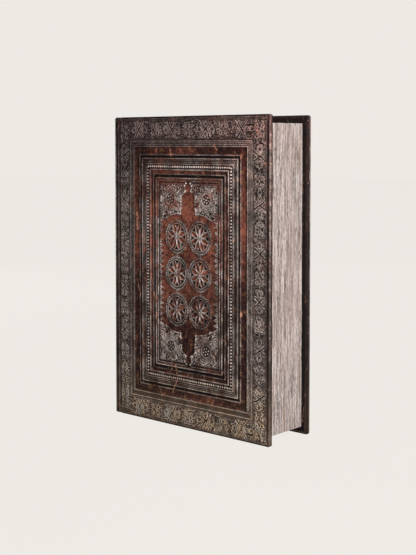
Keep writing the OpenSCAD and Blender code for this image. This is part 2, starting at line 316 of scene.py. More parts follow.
    # Painted shade: darker towards the upper spine side.
    shade = g.ramp(side, 0.03, -0.09) * g.ramp(height, 0.12, 0.26)
    g.coat(shade * 0.45, (0.35, 0.34, 0.36), "MULTIPLY")
    # Painted shade along the head, a little redder.
    g.coat(g.ramp(height, 0.236, 0.25), (0.83, 0.74, 0.76), "MULTIPLY")
    g.coat(g.spots((0.9, 2, 0.6), 0.52, 0.64, 0.45), BLACK)

    crack = g.ramp(g.cells(4, stretch=(1, 1, 0.6)), 0.0, 0.05)
    g.bump(grain * 0.35 + fine * 0.9 + crack * 0.35, 0.45)
    rough = g.ramp(crest + fine * 0.5, 0.2, 1.2, 0.6, 0.3)
    rough = g.ramp(dark, 0.3, 1.0, rough, 0.4)
    return g.finish(g.ramp(raised, -0.25, -0.05, 0.85, rough))


def page_paper():
    """The cut edges of old leaves, streaked along their length."""
    g = Graph("page_edges", 0.85)
    streak = g.noise(0.85, 7, 0.85, (0.075, 1, 0.075))
    tone = g.attribute("leaf") * 0.4 + streak * 1.3 + g.noise(1.0, 2, 0.6, (0.3, 1, 0.3)) * 0.7
    g.colour = g.mix(g.ramp(tone, 0.93, 1.57), (0.06, 0.04, 0.033), (0.42, 0.36, 0.345))
    g.coat(g.spots((18, 3, 0.5, (1, 1, 0.25)), 0.45, 0.75, 0.3), (0.28, 0.2, 0.17))
    g.coat(g.spots((2.6, 4, 0.7, (0.05, 1, 0.05)), 0.52, 0.66, 0.45), (0.2, 0.135, 0.1))
    g.bump(streak, 0.15)
    return g.finish()


def velvet():
    sheen = {"Sheen Weight": 0.7, "Sheen Roughness": 0.35, "Sheen Tint": (0.9, 0.35, 0.38)}
    g = Graph("velvet", 0.9, more=sheen)
    pile = g.noise(0.5, 2)
    g.colour = g.mix(g.spots((32, 3, 0.45), 0.3, 0.7), (0.075, 0.007, 0.011), (0.115, 0.012, 0.018))
    g.coat(pile * 0.4, (0.05, 0.004, 0.007))
    g.bump(pile, 0.12)
    return g.finish()


def marbled_paper():
    """Lining paper with combed bands of colour."""
    g = Graph("lining_paper", 0.6)
    comb = g.math("SINE", (g.axis("X") * 14 + g.noise(26, 3, 0.5, warp=2.2)) * 34)
    g.colour = g.mix(g.ramp(comb, -0.2, 0.4), (0.36, 0.26, 0.15), (0.16, 0.05, 0.035))
    g.coat(g.spots((7, 4, 0.6, (1, 1, 1), 3.0), 0.48, 0.53), (0.07, 0.09, 0.1))
    g.coat(g.spots((1.5, 3), 0.62, 0.8, 0.6), (0.5, 0.42, 0.3))
    g.bump(g.noise(0.6, 2), 0.03)
    return g.finish()


def plain_paper(name, light, dark):
    g = Graph(name, 0.85)
    fibre = g.noise(1.2, 4, 0.6)
    g.colour = g.mix(g.spots((18, 3), 0.4, 0.7), light, dark)
    g.coat(g.ramp(fibre, 0.5, 0.75, 0, 0.4), dark)
    g.bump(fibre, 0.05)
    return g.finish()


def wood():
    g = Graph("tray_wood", 0.6)
    pores = g.noise(0.5, 3, 0.6, (1, 1, 0.05))
    grain = g.spots((3, 5, 0.6, (1, 1, 0.06), 0.4), 0.35, 0.65)
    g.colour = g.mix(grain, (0.3, 0.17, 0.08), (0.42, 0.27, 0.15))
    g.coat(g.ramp(pores, 0.55, 0.75, 0, 0.6), (0.14, 0.075, 0.035))
    g.bump(pores, 0.06)
    return g.finish()


def brass(name, bright, dull, brown, rough=0.3):
    """Old metal: bright where it is handled, brown in its tarnish, with fine turning marks."""
    g = Graph(name, rough, 1.0)
    tarnish, stain = g.noise(9, 5, 0.6), g.noise(1.8, 4, 0.65)
    g.colour = g.mix(g.ramp(tarnish, 0.35, 0.65), bright, dull)
    g.coat(g.ramp(stain, 0.52, 0.7) * g.ramp(tarnish, 0.4, 0.6) * 0.8, brown)
    g.bump(g.noise(0.35, 2, 0.5, (0.1, 0.1, 1)) + stain, 0.015)
    return g.finish(g.ramp(tarnish + stain * 0.5, 0.45, 1.0, rough - 0.08, rough + 0.22))


def steel(name, rough=0.35):
    g = Graph(name, rough, 1.0)
    haze = g.noise(5, 4, 0.6)
    g.colour = g.mix(g.ramp(haze, 0.35, 0.7), (0.5, 0.5, 0.5), (0.3, 0.28, 0.26))
    g.bump(g.noise(0.4, 2, 0.5, (0.1, 0.1, 1)), 0.01)
    return g.finish(g.ramp(haze, 0.3, 0.7, rough - 0.1, rough + 0.15))


def enamel(name, light, dark):
    g = Graph(name, 0.35)
    wear = g.noise(1.1, 3)
    g.bump(wear, 0.02)
    g.colour = g.mix(g.ramp(wear, 0.4, 0.7), light, dark)
    return g.finish(g.ramp(wear, 0.3, 0.7, 0.3, 0.55))


def cork():
    g = Graph("cork", 0.9)
    pits = g.noise(1.0, 3)
    g.colour = g.mix(g.ramp(g.cells(1.6, "F1"), 0.2, 0.8), (0.45, 0.27, 0.14), (0.3, 0.17, 0.08))
    g.coat(g.ramp(pits, 0.62, 0.72), (0.08, 0.04, 0.02))
    g.bump(pits, 0.2)
    return g.finish()


def pale_floor():
    """A floor as even as the backdrop that still takes a soft shadow, and throws little light back up."""
    g = Graph("floor", 0.9, more={"Specular IOR Level": 0, "Emission Color": BACKDROP})
    seen = g.make("LightPath", {}, "Is Camera Ray")
    g.join(g.shader.inputs["Emission Strength"], g.ramp(seen, 0, 1, 0.1, 0.985))
    g.colour = (0.01, 0.0098, 0.0095)
    return g.finish()


LOOKS = {
    "tooled_leather": leather("tooled_leather"),
    "page_edges": page_paper(),
    "velvet": velvet(),
    "lining_paper": marbled_paper(),
    "liner_paper": plain_paper("liner_paper", (0.55, 0.45, 0.33), (0.4, 0.3, 0.2)),
    "binders_board": plain_paper("binders_board", (0.36, 0.29, 0.2), (0.26, 0.2, 0.13)),
    "parchment": plain_paper("parchment", (0.64, 0.52, 0.32), (0.42, 0.29, 0.15)),
    "tray_wood": wood(),
    "aged_brass": brass("aged_brass", (0.62, 0.42, 0.17), (0.4, 0.25, 0.09), (0.09, 0.05, 0.02)),
    "ring_brass": brass("ring_brass", (0.7, 0.5, 0.22), (0.5, 0.33, 0.13), (0.12, 0.07, 0.03), 0.26),
    "tube_brass": brass("tube_brass", (0.6, 0.43, 0.19), (0.42, 0.28, 0.11), (0.1, 0.06, 0.03), 0.34),
    "dark_bronze": brass("dark_bronze", (0.24, 0.14, 0.06), (0.12, 0.065, 0.028), (0.03, 0.018, 0.01), 0.38),
    "closure_steel": steel("closure_steel"),
    "pin_steel": steel("pin_steel", 0.28),
    "code_ring_steel": steel("code_ring_steel", 0.4),
    "index_red": enamel("index_red", (0.36, 0.02, 0.015), (0.16, 0.012, 0.01)),
    "letter_black": enamel("letter_black", (0.012, 0.01, 0.009), (0.04, 0.03, 0.022)),
    "cork": cork(),
    "floor": pale_floor(),
}


# ---- Mesh building blocks ----

def build(name, points, faces, body, slot, look=None, values=None, smooth=True, recalc=True):
    """A piece from points in millimetres; values maps an attribute name to one number a point."""
    mesh = bpy.data.meshes.new(name)
    mesh.from_pydata((np.asarray(points, float) * MM).tolist(), [], faces)
    for key, numbers in (values or {}).items():
        layer = mesh.attributes.new(key, "FLOAT", "POINT")
        layer.data.foreach_set("value", np.asarray(numbers, np.float32))
    b = bmesh.new()
    b.from_mesh(mesh)
    bmesh.ops.remove_doubles(b, verts=b.verts, dist=1e-6)
    bmesh.ops.delete(b, geom=[v for v in b.verts if not v.link_faces], context="VERTS")
    if recalc:
        bmesh.ops.recalc_face_normals(b, faces=b.faces)
    b.to_mesh(mesh)
    b.free()
    mesh.validate()
    if smooth:
        mesh.polygons.foreach_set("use_smooth", [True] * len(mesh.polygons))
    mesh.materials.append(LOOKS[look or slot])
    piece = bpy.data.objects.new(name, mesh)
    scene.collection.objects.link(piece)
    if body:
        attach(piece, body)
    return piece


def grid_faces(columns, rows, keep=None):
    """Quads of a grid whose point (i, j) has number i * rows + j. keep(i, j) says which stay."""
    i, j = np.meshgrid(np.arange(columns - 1), np.arange(rows - 1), indexing="ij")
    i, j = i.ravel(), j.ravel()
    if keep is not None:
        chosen = keep(i, j)
        i, j = i[chosen], j[chosen]
    first = i * rows + j
    return np.stack([first, first + rows, first + rows + 1, first + 1], 1).tolist()


def loop_faces(loops, size, closed=True, start=0):
    """Quads between neighbouring loops of size points each."""
    return [
        [start + a + n, start + a + (n + 1) % size, start + a + size + (n + 1) % size, start + a + size + n]
        for a in range(0, (loops - 1) * size, size) for n in range(size if closed else size - 1)
    ]


def loft(loops):
    """Points and faces of a skin through equally long loops, closed at both ends."""
    count, size = len(loops), len(loops[0])
    faces = loop_faces(count, size)
    faces += [list(range(size)), list(range((count - 1) * size, count * size))]
    return np.concatenate(loops), faces


def merged(parts):
    """Points and faces of many small shapes as one."""
    points, faces = [], []
    for shape, shape_faces in parts:
        faces += [[len(points) + n for n in face] for face in shape_faces]
        points += shape.tolist()
    return points, faces


def spaced(low, high, step):
    return np.linspace(low, high, int(round((high - low) / step)) + 1)


CORNER_STEPS = 5


def grid_outline(us, vs):
    """Round a grid: each boundary point's place and (i, j), and the way out, fanned at the corners."""
    columns, rows = len(us), len(vs)
    sides = [
        ([(i, 0) for i in range(columns)], 270),
        ([(columns - 1, j) for j in range(rows)], 360),
        ([(i, rows - 1) for i in reversed(range(columns))], 450),
        ([(0, j) for j in reversed(range(rows))], 540),
    ]
    found = []
    for points, angle in sides:
        found += [(p, angle) for p in points]
        found += [(points[-1], angle + 90 * k / CORNER_STEPS) for k in range(1, CORNER_STEPS)]
    i, j = np.array([p for p, _ in found]).T
    turn = np.radians([a for _, a in found])
    return np.stack([us[i], vs[j]], 1), np.stack([np.cos(turn), np.sin(turn)], 1), (i, j)


# ---- Tooling of the leather, in millimetres: x from the middle towards the fore edge, y up ----

BEAD_HALF = (48.1, 92.1)      # half width and half height of the pearl row's rectangle
BEAD_PITCH = (2.46, 2.7)      # along the head and tail rows, and along the side rows
BEAD_R = 1.0
# Distances outward from the pearl row, negative towards the middle
RED_BAND = (11.0, 16.7)
BORDER = (23.0, 37.4)
PANEL_EDGE = -15.4
FILLETS = [
    (22.1, 0.55, 0.6), (20.6, 0.5, 0.5), (19.1, 0.5, 0.5), (17.6, 0.55, 0.6),
    (10.2, 0.5, 0.6), (7.0, 0.7, 0.7), (5.4, 0.45, 0.45), (3.9, 0.5, 0.5), (2.3, 0.6, 0.65),
    (-2.7, 0.75, 0.8), (-6.6, 0.55, 0.55), (-10.0, 0.7, 0.7),
]                             # distance, half width, height
TAIL_RUBBED = (20.6, 19.1)    # these are nearly worn away along the tail
PANEL_FILLETS = [(-12.4, 0.6, 0.55), (-14.7, 0.55, 0.5)]
DARK_GROOVES = [(7.7, 9.6), (4.4, 4.9), (2.9, 3.4), (-2.0, -1.4), (-9.2, -7.2), (-13.9, -13.1)]
RED_GROOVES = [(-5.8, -3.6), (-11.7, -10.8)]
ROSETTE_X = 13.3
ROSETTE_Y = 31.7
ROSETTE_HALF = (13.5, 15.0)
ROSETTE_R = 14.0              # a rosette is drawn round at this size and then stretched to its half sizes
ROSETTE_RIM = 14.15
PETALS = 8
CLEARING = 19.3               # the plain ground round the outer rosettes
SQUARE_FOOT = (46.8, 51.0)    # where the corner squares begin, outside the rosettes and above them
SQUARE_MIDDLE = (20.6, 64.4)
STUDS = ((3.1, 71.3, 1.2), (2.4, 78.0, 0.95))
LACE_HALF_H = 46.8
LACE_X = 35.0
LACE_DEPTH = 5.8
LACE_PITCH = 4.6
KNOT_PITCH = 39.4             # from one crossing of the border's straps to the next
KNOT_START = 22.6             # a crossing on the upright sides
KNOT_SLANT = 0.6
DOT_PITCH = 1.9               # of the punched and pebbled grounds
TURN = 2 * math.pi


def ramp(low, high, x):
    t = np.clip((x - low) / (high - low), 0, 1)
    return t * t * (3 - 2 * t)


def dome(distance, half):
    """A round ridge: 1 on its line and 0 from half away."""
    return np.sqrt(np.clip(1 - (distance / half) ** 2, 0, 1))


def ring(x, y, radius, half):
    return dome(np.hypot(x, y) - radius, half)


def folded(x, period):
    """x measured from the nearest whole number of periods."""
    return x - np.round(x / period) * period


def noise(x, y, size, seed):
    """Smooth random values from 0 to 1, with features of about size."""
    cells = np.random.RandomState(seed).rand(128, 128)
    u, v = x / size + 500.5, y / size + 500.5
    i, j = np.floor(u).astype(int), np.floor(v).astype(int)
    fu, fv = ramp(0, 1, u - i), ramp(0, 1, v - j)

    def cell(a, b):
        return cells[a % 128, b % 128]

    low = cell(i, j) * (1 - fu) + cell(i + 1, j) * fu
    high = cell(i, j + 1) * (1 - fu) + cell(i + 1, j + 1) * fu
    return low * (1 - fv) + high * fv


def dots(x, y):
    """How far each point is from the nearest spot of a staggered grid, in pitches."""
    row = np.floor(y / DOT_PITCH)
    return np.hypot((x / DOT_PITCH + 0.5 * (row % 2)) % 1 - 0.5, (y / DOT_PITCH) % 1 - 0.5)


def scrolls(x, y, size, seed):
    """Curling tendrils: contour lines of a smooth random field, thicker and thinner as they wander."""
    field = 3.6 * noise(x, y, size, seed) + 0.5 * noise(x, y, size / 2.5, seed + 1)
    return dome(folded(field, 0.5), 0.12)


def knotwork(along, across, half, pitch):
    """Blocks of four round flowers, and between them blocks of two crossed straps with striped leaves.

    Returns the height and how deep inside a punched pit each point is, both 0 to 1.
    """
    along, across = (along + 1.8 * (noise(along, across, 5, 61) - 0.5),
                     across + 1.2 * (noise(across, along, 4, 62) - 0.5))
    eye, near = np.abs(folded(along + pitch / 2, pitch)), folded(along, pitch)
    aside, inner = np.abs(across), half - 1.7
    px, py = eye - 3.2, aside - 2.8
    q, turn = np.hypot(px, py), np.arctan2(py, px)
    flower = np.maximum(dome(q - 1.35, 0.55), 0.85 * dome(q - 2.7, 0.5) * (0.55 + 0.45 * np.cos(5 * turn)))
    bud = np.maximum(dome(np.hypot(eye - 6.7, across), 0.9), dome(np.hypot(eye, across), 0.8))
    blossom = np.maximum(flower, bud) * (eye < 8.2)
    cosine, sine = math.cos(KNOT_SLANT), math.sin(KNOT_SLANT)
    first, second = np.abs(near * cosine - across * sine), np.abs(near * cosine + across * sine)
    closer, further = np.minimum(first, second), np.maximum(first, second)
    stripes = 0.8 * (0.5 + 0.5 * np.cos(TURN * further / 1.9)) * (closer > 1.9)
    leaf = 0.9 * dome(np.hypot((np.abs(near) - 6.4) / 1.5, across / 1.1) - 1.9, 0.45)
    crossing = np.maximum.reduce([dome(closer - 1.0, 0.5), stripes * (np.abs(near) < 5.5), leaf])
    crossing = crossing * (eye > 8.0)
    fill = 0.75 * scrolls(along, aside, 5.5, 63)
    height = np.maximum.reduce([blossom, crossing, fill]) * (aside < inner)
    rim = 0.5 * ramp(inner, inner + 0.4, aside) * (1 - 0.6 * dome(aside - inner - 0.9, 0.35))
    pit = np.maximum(ramp(0.9, 0.5, q), ramp(0.7, 0.2, closer) * (eye > 8.0) * (aside < inner))
    return np.maximum(height, rim), pit


def rosette(x, y):
    """The height from 0 to 1, how far inside a plain petal and a punched dot a point is, and its radius."""
    u, v = x * ROSETTE_R / ROSETTE_HALF[0], y * ROSETTE_R / ROSETTE_HALF[1]
    r, a = np.hypot(u, v), np.arctan2(v, u)
    rope = dome(r - 13.0, 1.15) * (0.6 + 0.4 * np.cos(36 * a + 3.5 * r))
    cord = 0.9 * dome(r - 10.9, 0.5)
    wedge = r * np.sin(np.abs(folded(a - TURN / 2 / PETALS, TURN / PETALS)))
    half = 2.05 * np.sin(math.pi * np.clip((r - 1.2) / 9.8, 0, 1) ** 1.4) ** 0.8
    outline = dome(wedge - half, 0.5) * (r > 1.5) * (r < 10.1)
    inside = ramp(0.1, -0.3, wedge - half) * (r > 2.0) * (r < 9.9)
    spoke = r * np.sin(folded(a, TURN / PETALS))
    dot = ramp(1.3, 0.9, np.hypot(r - 8.3, spoke))
    rib = dome(spoke, 0.4) * (r < 3.6) * (r > 2.0) * 0.6
    height = np.maximum.reduce([rope, cord, outline, rib * (1 - inside), dome(r, 1.5)])
    return height, inside * (1 - outline), dot * (1 - outline), r


def arabesque(x, y):
    """A medallion in rings, with curls, buds and tendrils filling the rest of its square.

    Returns the height and how deep inside a punched pit each point is, both 0 to 1.
    """
    r, a = np.hypot(x, y), np.arctan2(y, x)

    def spread(radius, count, phase=0.0):
        """The distance to the nearest of count spots on a circle."""
        return np.hypot(r - radius, r * np.sin(folded(a + phase, TURN / count)))

    spoke = spread(6.3, 14)
    corner = np.hypot(np.abs(x) - 9.9, np.abs(y) - 9.9)
    height = np.maximum.reduce([
        0.8 * dome(r - 7.6, 0.5), 0.85 * dome(r - 5.0, 0.65), dome(r, 1.0), dome(spread(2.8, 6, 0.3), 1.0),
        0.7 * dome(r - 6.2, 0.9), 0.8 * dome(spread(9.3, 12) - 1.2, 0.5) * (r > 8.0),
        dome(spread(11.6, 16, 0.2), 0.95), dome(corner, 0.9), 0.85 * dome(corner - 2.2, 0.5),
        0.95 * scrolls(x, y, 4.6, 71) * (r > 8.4),
    ])
    pit = np.maximum(ramp(0.85, 0.5, spoke), ramp(0.75, 0.4, np.abs(corner - 1.4)))
    return height, pit * (1 - ramp(0.3, 0.6, height))


class Relief:
    """Collects heights, in mm, how raised and plain red each point is, its painted shade (dark) and its
    painted highlights (bright).
    """

    def __init__(self, x, y):
        self.x, self.y = x, y
        self.raised, self.sunk, self.red, self.dark, self.tint, self.bright = np.zeros((6,) + x.shape)

    def ridge(self, where, height):
        self.raised = np.maximum(self.raised, where * height)

    def paint_highlight(self, bright):
        # Painted highlight: lightens the colour where light would catch.
        self.bright = np.maximum(self.bright, bright)

    def sink(self, where, depth, red=0.0, dark=0.0):
        self.sunk = np.maximum(self.sunk, where * depth)
        self.red = np.maximum(self.red, where * red)
        # dark is painted shade in sunk places.
        self.dark = np.maximum(self.dark, where * dark)

    def stipple(self, ground, pebble, depth, dark, punch):
        """A ground of small pebbles and punched dots, the sunk ground and the dots darkened as painted shade.
        """
        self.ridge(ground * dome(dots(self.x, self.y), 0.5), pebble)
        self.sink(ground, depth, dark=dark)
        self.sink(ground * ramp(0.4, 0.22, dots(self.x + 0.4, self.y + DOT_PITCH / 2)), punch, dark=1.0)

    def rosette(self, where, height, rise, petal, red, dot):
        self.ridge(where * height, rise)
        self.sink(where * petal, 0.3, red=red)
        # Punched dots painted black as painted shade.
        self.sink(where * dot, 0.45, dark=1.0)

    def result(self):
        """Height in mm from the plain level; how raised each point is, worn by age, with its painted
        highlights added; how red it is; and how dark it is with painted shade.
        """
        x, y = self.x, self.y
        worn = 0.62 + 0.5 * noise(x, y, 9, 3) * noise(x, y, 2.6, 4) ** 0.5 + 0.12 * noise(x, y, 30, 5)
        swell = 0.22 * (noise(x, y, 34, 6) - 0.5) + 0.12 * (noise(x, y, 8, 7) - 0.5)
        raised = self.raised * worn * 1.7
        plain_red = np.maximum(self.red * (1 - ramp(0.1, 0.5, self.raised)), self.tint)
        return raised - self.sunk + swell, np.clip(raised / 0.95, 0, 1) + self.bright, plain_red, self.dark


def tooling(x, y):
    """A cover's pattern at points (x, y), as Relief gives it."""
    out = Relief(x, y)
    dx, ay = np.abs(x) - BEAD_HALF[0], np.abs(y)
    dy = ay - BEAD_HALF[1]
    s = np.maximum(dx, dy)
    upright = dx > dy
    column = 7.0 + 1.0 * ramp(62, 52, ay) - 4.2 * ramp(66.5, 71, ay)
    neck = (np.abs(x) < column) & (ay > 60) & (s < -10.9)
    lace_zone = (ay < LACE_HALF_H) & upright

    out.tint = 0.75 * ramp(17.5, 16.5, s) * ramp(0.35, 0.75, noise(x, y, 7, 65))
    for distance, half, height in FILLETS:
        rubbed_flat = (distance in TAIL_RUBBED) & ~upright & (y < 0)
        line = dome(s - distance, half) * np.where(rubbed_flat, 0.35, 1.0)
        out.ridge(line, height)
        # Painted highlights on the fillets, stronger towards the fore edge side.
        out.paint_highlight(0.55 * line ** 3 * noise(x, y, 4, 75) * ramp(15, 50, x))
    for distance, half, height in PANEL_FILLETS:
        out.ridge(dome(s - distance, half) * ~neck * ~lace_zone, height)
    # Sunk grooves painted black as painted shade.
    for low, high in DARK_GROOVES:
        out.sink((s > low) & (s < high) & ~neck, 0.3, dark=1.0)
    for low, high in RED_GROOVES + [RED_BAND]:
        out.sink((s > low) & (s < high), 0.12, red=1.0)

    in_row = np.abs(s) < 1.4
    place = np.where(upright, folded(y + 0.3, BEAD_PITCH[1]), folded(x + 0.4, BEAD_PITCH[0]))
    row = dome(np.hypot(place, 0.85 * s), BEAD_R)
    out.ridge(in_row * row, 0.8)
    # Painted highlights on the pearls and painted shade in the gaps between them.
    out.paint_highlight(in_row * ramp(0.3, 0.75, row) * (0.25 + 0.75 * noise(x, y, 9, 76)))
    out.sink(in_row * (1 - ramp(0.0, 0.4, row)), 0.4, dark=1.0)

    low, high = BORDER[0], np.where(upright, BORDER[1], BORDER[1] + 3.4)
    in_border = (s > low) & (s < high)
    along = np.where(upright, y - KNOT_START, x - KNOT_PITCH / 2)
    knots, pits = knotwork(along, s - (low + high) / 2, (high - low) / 2, KNOT_PITCH)
    out.ridge(in_border * knots, 0.75)
    # Painted shade in the stippled ground and punched pits, and painted highlights on the knots.
    out.stipple(in_border * (1 - ramp(0.05, 0.4, knots)), 0.4, 0.12, 0.35, 0.38)
    out.sink(in_border * pits, 0.45, dark=1.0)
    out.paint_highlight(0.35 * in_border * knots ** 3 * noise(x, y, 3, 64))
    out.ridge(dome(s - 41.8, 0.6) * ~upright, 0.5)
    # A groove near the face's edge painted dark as painted shade.
    out.sink((s > 37.6) & (s < 38.4) & upright, 0.2, dark=0.6)

    panel(out, x, y, s, column, lace_zone & (s < -11.8))
    return out.result()


def panel(out, x, y, s, column, in_lace):
    """The middle of a cover: lace strips, four arabesque squares and six rosettes on plain ground."""
    ax, ay = np.abs(x), np.abs(y)
    phase = folded(y, LACE_PITCH)
    lace_edge = LACE_X - LACE_DEPTH + 0.8 * LACE_DEPTH * (np.abs(phase) * 2 / LACE_PITCH)
    in_lace = in_lace & (ax > lace_edge - 0.5)
    lace = np.maximum.reduce([
        dome(ax - lace_edge, 0.7), dome(ax - LACE_X - 0.6, 0.55), ring(ax - LACE_X + 2.5, phase, 1.0, 0.5),
        0.8 * dome(np.hypot(ax - LACE_X + 0.7, LACE_PITCH / 2 - np.abs(phase)), 0.8),
    ])
    out.ridge(in_lace * lace, 0.65)
    # Painted highlights on the lace and painted shade in its gaps.
    out.paint_highlight(in_lace * lace ** 3 * ramp(0.0, 0.8, noise(x, y, 3, 73)))
    out.sink(in_lace * (1 - ramp(0.1, 0.5, lace)), 0.22, dark=1.0)

    in_panel = s < PANEL_EDGE
    cleared = np.hypot(ax - ROSETTE_X, ay - ROSETTE_Y) < CLEARING
    rim_y = np.where((ax > ROSETTE_X) & ~cleared, *SQUARE_FOOT)
    in_square = in_panel & (ay > rim_y) & (ax > column)
    ornament, pits = arabesque(ax - SQUARE_MIDDLE[0], ay - SQUARE_MIDDLE[1])
    arc = ring(ax - ROSETTE_X, ay - ROSETTE_Y, CLEARING + 0.5, 0.5) * (ay > SQUARE_FOOT[0])
    ornament = np.maximum.reduce([
        ornament, dome(np.hypot(folded(y, 2.6), ax - column - 1.1), 0.95),
        0.8 * dome(ay - rim_y - 0.5, 0.5) * (ax < ROSETTE_X + 3), 0.8 * arc,
    ])
    out.ridge(in_square * ornament, 0.75)
    # Painted shade in the stippled ground and pits, and painted highlights on the ornament.
    out.stipple(in_square * (1 - ramp(0.05, 0.4, ornament)), 0.45, 0.15, 0.85, 0.3)
    out.sink(in_square * pits, 0.4, dark=1.0)
    out.paint_highlight(0.8 * in_square * ornament ** 2 * ramp(0.0, 0.6, noise(x, y, 3, 72)))
    for px, py, radius in STUDS:
        stud = dome(np.hypot(ax - px, ay - py), radius)
        out.ridge(stud, 0.85)
        # Painted highlights on the studs.
        out.paint_highlight(stud)

    row_y = np.clip(np.round(y / ROSETTE_Y), -1, 1) * ROSETTE_Y
    height, petal, dot, r = rosette(ax - ROSETTE_X, y - row_y)
    in_rosette = (r < ROSETTE_RIM) & in_panel
    # Painted shade in the rosettes' dots and gaps, and painted highlights on their raised parts.
    out.rosette(in_rosette, height, 0.75, petal, 0.75 + 0.75 * noise(x, y, 3.5, 77), dot)
    paint_highlight = (0.75 + 0.35 * ramp(11.6, 12.4, r)) * height ** 3
    out.paint_highlight(in_rosette * paint_highlight * ramp(0.05, 0.8, noise(x, y, 3, 74)))
    out.sink(in_rosette * (1 - petal) * (1 - ramp(0.1, 0.5, height)), 0.2, dark=0.75)
    out.ridge(ring(ax - ROSETTE_X, ay - ROSETTE_Y / 2, 1.1, 0.6), 0.6)
    out.sink(in_panel & ~in_square & ~in_lace & ~in_rosette, 0.0, red=1.0)


MARKS = (
    (-62.3, 50, -61.2, 36, 2.2), (-53.6, 37.5, -53.2, 16, 0.6), (-44.5, -2.5, -37.5, -41, 0.5),
    (-14.8, -81, -13.2, -94, 0.7), (-13.2, -94, -19.5, -106.5, 0.7), (-20.6, -79, -20.2, -87, 0.5),
    (-22, 110.5, -20.5, 102, 0.9), (29, 111, 32, 106.5, 0.8), (74.5, 126, 77.5, 120.5, 1.3),
    (-38.6, 109, -39.4, 104, 0.5), (50, 33, 50.6, 31.5, 1), (45.2, 4, 45.4, 1, 0.9),
    (59.4, -27, 59.4, -30, 1.1), (53.5, -64, 53.9, -67, 1), (-86.9, -68.5, -87, -70, 0.8),
    (28, -104.5, 27, -109.5, 0.6), (-60.5, -14, -58.5, -23, 0.8),
)                             # old scratches on the front cover: x and y from, x and y to, half width


def scuffs(x, y):
    """How deep in an old scratch or scuff each point is, from 0 to 1."""
    u, v = x + 1.6 * (noise(x, y, 3, 81) - 0.5), y + 1.6 * (noise(x, y, 2, 82) - 0.5)
    found = np.zeros_like(x)
    for x0, y0, x1, y1, half in MARKS:
        dx, dy = x1 - x0, y1 - y0
        share = np.clip(((u - x0) * dx + (v - y0) * dy) / (dx * dx + dy * dy), 0, 1)
        away = np.hypot(u - x0 - share * dx, v - y0 - share * dy)
        found = np.maximum(found, ramp(half, 0.4 * half, away) * ramp(0.15, 0.45, noise(x, y, 1.6, 83)))
    return found


def spine_tooling(x, y):
    """The spine's pattern: raised bands across it, and a framed rosette in each compartment between them."""
    out = Relief(x, y)
    middle = folded(y, SPINE_PITCH)
    from_frame = np.abs(x) - 21.0
    frame_s = np.maximum(from_frame, np.abs(middle) - 20.0)
    out.ridge(dome(SPINE_PITCH / 2 - np.abs(middle), 2.6), 0.8)
    for distance in (0.0, 1.7, -1.8):
        out.ridge(dome(frame_s - distance, 0.6), 0.55)
    for distance in (4.4, 5.8):
        out.ridge(dome(from_frame - distance, 0.5), 0.5)
    height, petal, dot, r = rosette(x, middle)
    inside = frame_s < -2.6
    in_rosette = inside * (r < ROSETTE_RIM)
    # The rosettes' punched dots painted black as painted shade.
    out.rosette(in_rosette, height, 0.7, petal, 1.0, dot)
    corner = np.hypot(np.abs(x) - 14.3, np.abs(middle) - 13.6)
    bud = np.maximum(dome(corner - 2.6, 0.6), dome(corner, 1.1))
    out.ridge(inside * bud * (r > 14.3), 0.65)
    out.sink(inside * (r > 14.3) * (1 - ramp(0.1, 0.5, bud)), 0.15, red=1.0)
    return out.result()


# ---- Leather skins ----

PATTERN_X, PATTERN_Z = 1.15, 134.2        # the middle of the tooling, a little off the cover's own middle
FRONT_X = (FRONT_LO[0] + FRONT_HI[0]) / 2
BACK_X = (BACK_LO[0] + BACK_HI[0]) / 2
MID_Z = CASE_H / 2
SPINE_PITCH = CASE_H / 5
SPLIT = 13.85                 # the front skin is in two pieces that meet this far outside the pearl row
JOINT_SIDE = 6.5              # nothing stands proud this near the front cover's joint
EDGE = 1.5                    # how far the rounding of a cover's edge reaches in
EDGE_DROP = 1.0
TURN_IN = 14.0
LEATHER_T = 0.55
TURNED_IN = -0.6              # under 0 in "raised" makes the leather dull, as it is inside a cover
PLAIN_LEVEL = -0.33           # the plain ground lies this far below a cover's outer face
DEEPEST, HIGHEST = -0.52, 0.95


def edge_profile(thickness):
    """Points (outward, depth) round a cover's edge, from its outer face to its inner face."""
    turn = np.radians(np.linspace(0, 90, 7))
    outer = [(EDGE * math.sin(t), EDGE_DROP * (1 - math.cos(t))) for t in turn]
    flat = [(EDGE, d) for d in np.arange(EDGE_DROP + 0.3, thickness - EDGE_DROP - 0.1, 0.3)]
    return outer + flat + [(o, thickness - d) for o, d in reversed(outer)]


